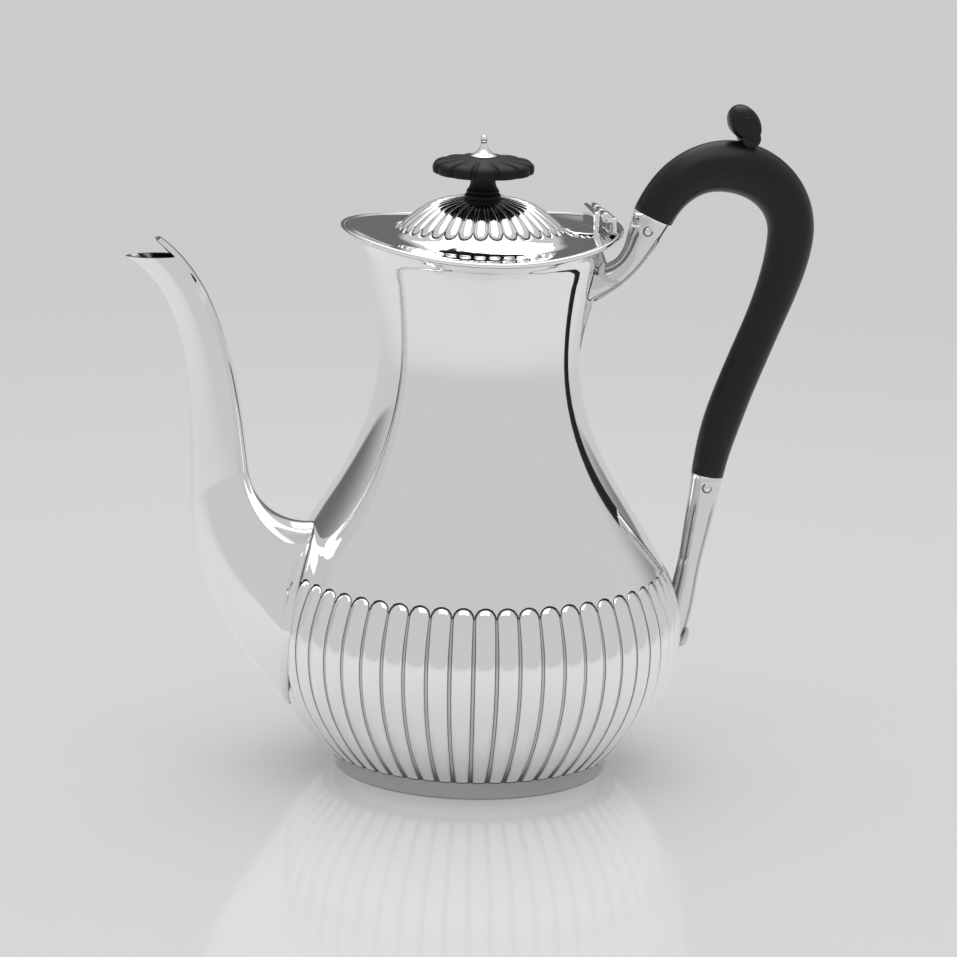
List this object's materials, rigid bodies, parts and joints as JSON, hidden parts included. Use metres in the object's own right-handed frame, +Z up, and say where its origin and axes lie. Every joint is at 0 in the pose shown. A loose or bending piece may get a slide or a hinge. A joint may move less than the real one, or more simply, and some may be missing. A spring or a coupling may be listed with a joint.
{
  "type": "coffee pot",
  "caption": "Baluster coffee pot with a fluted belly, tall curved spout, hinged fluted lid with a carved knob, and a dark scrolled handle.",
  "frame": {"origin": "middle of the foot ring's underside, on the pot's upright axis", "axes": "+Z up; the spout points to -X and the handle to +X; Y runs from the near side to the far side"},
  "size_m": [0.2413, 0.1464, 0.2341],
  "materials": {
    "silver": "polished sterling silver with fine wear",
    "ebony": "polished black ebony"
  },
  "bodies": {
    "pot": {"body": "silver", "foot_ring": "silver", "rim_wire": "silver", "spout": "silver", "body_hinge_leaf": "silver", "hinge_pin": "silver", "handle_arch": "ebony", "handle_grip": "ebony", "handle_dowel": "ebony", "upper_socket": "silver", "lower_socket": "silver", "upper_rivet": "silver", "lower_rivet": "silver"},
    "lid": {"lid": "silver", "lid_bezel": "silver", "lid_hinge_leaf": "silver", "finial_stem": "ebony", "finial_knob": "ebony", "finial_cap": "silver", "finial_stud": "silver", "finial_washer": "silver", "finial_nut": "silver"}
  },
  "joints": [
    {"name": "lid_hinge", "type": "hinge", "parent": "pot", "child": "lid", "pos_m": [0.0417, 0, 0.1966], "axis": [0, 1, 0], "range_deg": [0, 90]}
  ]
}
